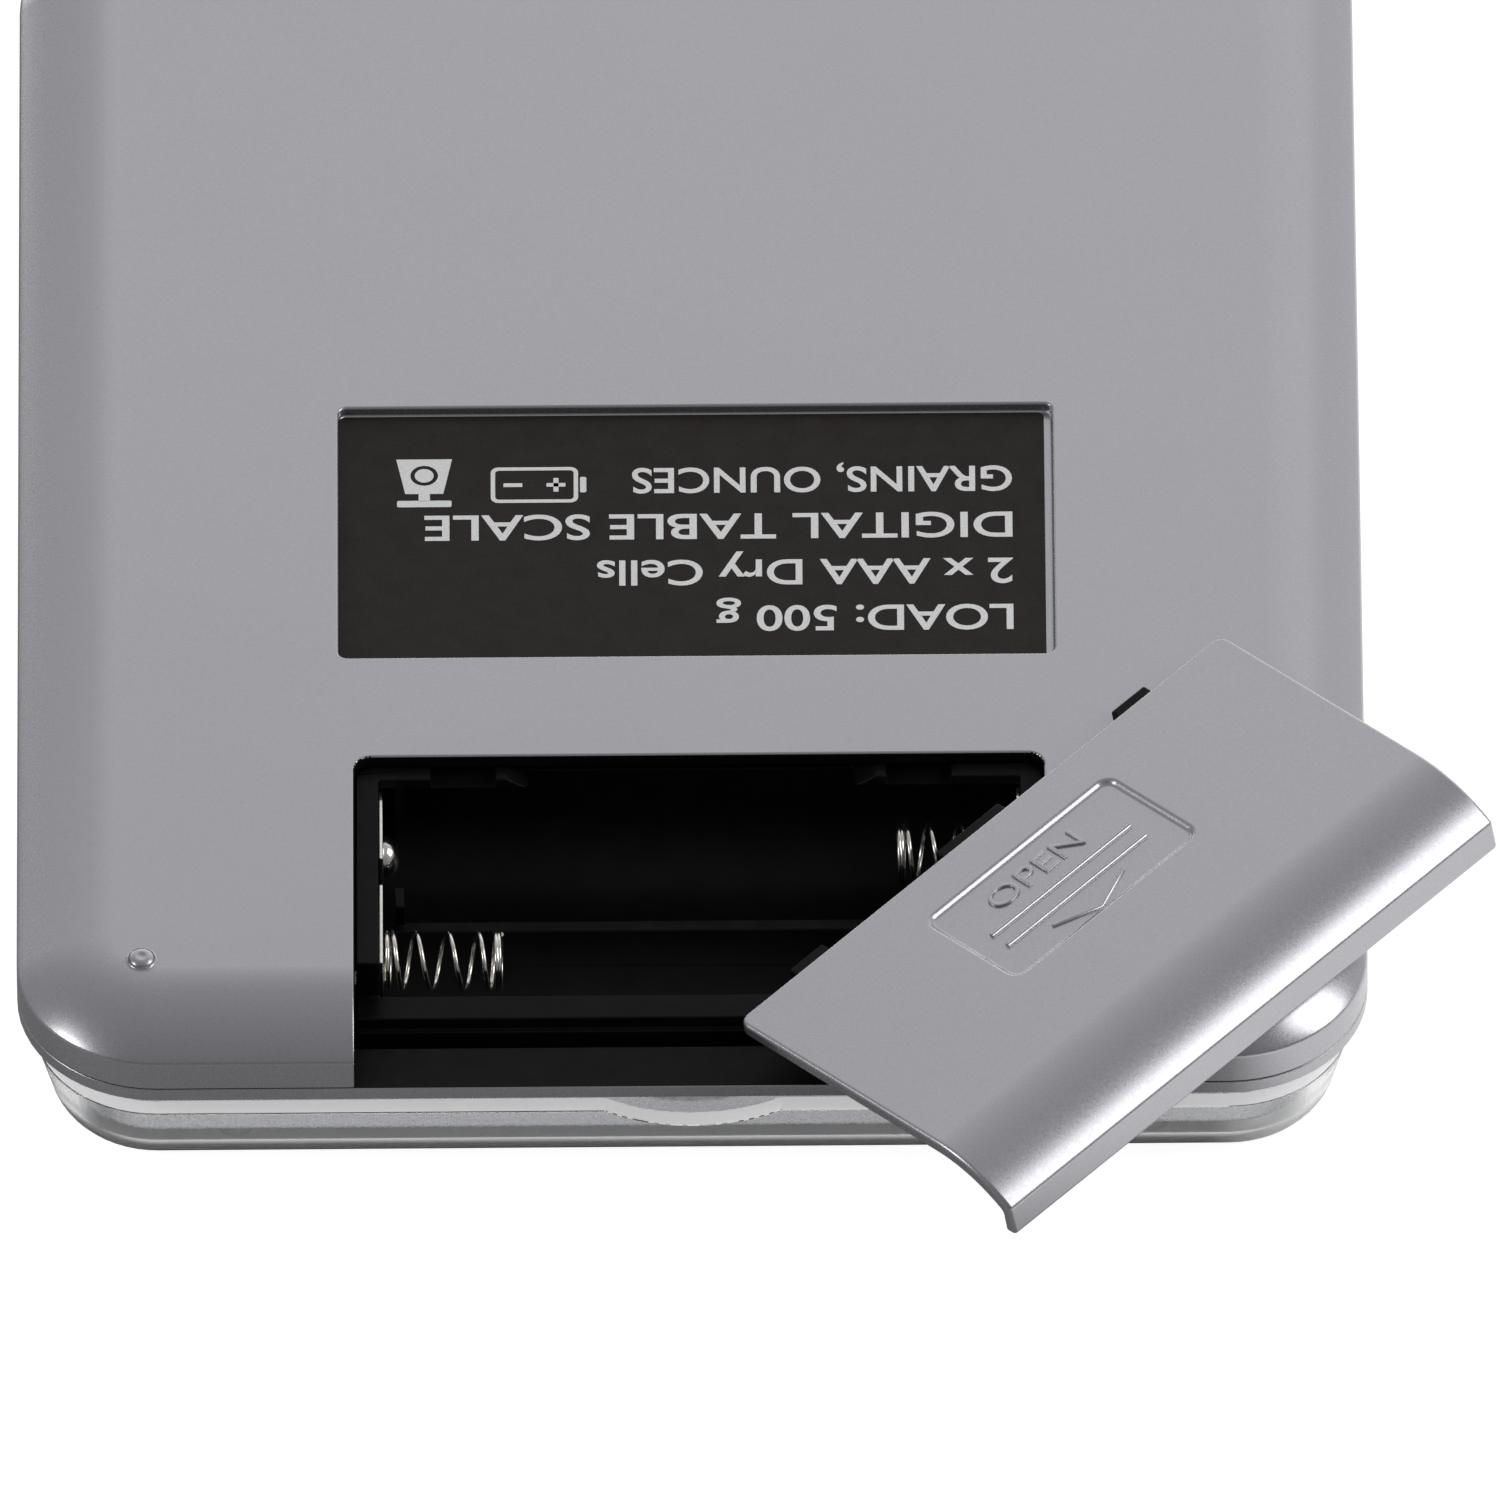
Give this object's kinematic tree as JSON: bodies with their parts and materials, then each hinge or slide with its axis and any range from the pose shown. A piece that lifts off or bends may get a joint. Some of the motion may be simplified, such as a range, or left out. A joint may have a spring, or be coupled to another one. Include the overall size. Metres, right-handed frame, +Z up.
{
  "type": "tabletop precision scale",
  "caption": "Slim battery-powered precision scale, face down on its clear cover, with an open battery bay and its loose door resting on the base.",
  "frame": {"origin": "centre of the clear cover's flat resting face, on the surface that the upturned scale lies on", "axes": "+Z up, out of the scale's base, so the display and platform face -Z; -Y is the battery end, +X is to the right seen from the battery end"},
  "size_m": [0.1161, 0.1462, 0.0239],
  "materials": {
    "silver_paint": "fine metallic silver paint over moulded plastic, satin",
    "black_plastic": "satin moulded black",
    "clear_plastic": "clear polystyrene, glossy",
    "label": "dark printed film, satin",
    "nickel": "bright nickel-plated spring steel",
    "stainless": "brushed stainless",
    "aluminium": "milled",
    "gauge_film": "amber film",
    "screw_steel": "zinc plated",
    "board": "green solder mask",
    "chip": "moulded epoxy",
    "lens": "clear acrylic",
    "lcd_glass": "grey-green liquid crystal cell",
    "light_guide": "milky acrylic",
    "zebra_rubber": "layered silicone",
    "key_rubber": "satin dark keys",
    "wire": "PVC sleeve"
  },
  "bodies": {
    "cover": {"clear_cover": "clear_plastic"},
    "scale": {"base_cover": "silver_paint", "spec_label": "label", "top_case": "silver_paint", "battery_tray": "black_plastic", "positive_contact": "nickel", "negative_contact": "nickel", "bridge_contact": "nickel", "negative_spring": "nickel", "bridge_spring": "nickel", "load_cell": "aluminium", "strain_gauges": "gauge_film", "load_cell_screws": "screw_steel", "display_lens": "lens", "lcd_panel": "lcd_glass", "lcd_backlight": "light_guide", "zebra_strip": "zebra_rubber", "main_board": "board", "board_screws": "screw_steel", "board_components": "chip", "key_switches": "screw_steel", "case_screws": "screw_steel", "battery_leads": "wire", "load_cell_lead": "wire"},
    "door": {"battery_door": "silver_paint"},
    "platform": {"platform_plate": "stainless", "platform_carrier": "black_plastic", "platform_screws": "screw_steel"},
    "power_button": {"power_key": "key_rubber"},
    "unit_button": {"unit_key": "key_rubber"},
    "tare_button": {"tare_key": "key_rubber"},
    "count_button": {"count_key": "key_rubber"}
  },
  "joints": [
    {"name": "scale_lift", "type": "slide", "parent": "cover", "child": "scale", "axis": [0, 0, 1], "range_m": [0, 0.03]},
    {"name": "door_lift", "type": "slide", "parent": "scale", "child": "door", "axis": [0, 0, 1], "range_m": [0, 0.04]},
    {"name": "platform_press", "type": "slide", "parent": "scale", "child": "platform", "axis": [0, 0, 1], "range_m": [0, 0.0003], "stiffness_N_per_m": 16000, "deforming": ["load_cell"]},
    {"name": "power_press", "type": "slide", "parent": "scale", "child": "power_button", "axis": [0, 0, 1], "range_m": [0, 0.0003], "stiffness_N_per_m": 4000},
    {"name": "unit_press", "type": "slide", "parent": "scale", "child": "unit_button", "axis": [0, 0, 1], "range_m": [0, 0.0003], "stiffness_N_per_m": 4000},
    {"name": "tare_press", "type": "slide", "parent": "scale", "child": "tare_button", "axis": [0, 0, 1], "range_m": [0, 0.0003], "stiffness_N_per_m": 4000},
    {"name": "count_press", "type": "slide", "parent": "scale", "child": "count_button", "axis": [0, 0, 1], "range_m": [0, 0.0003], "stiffness_N_per_m": 4000}
  ]
}
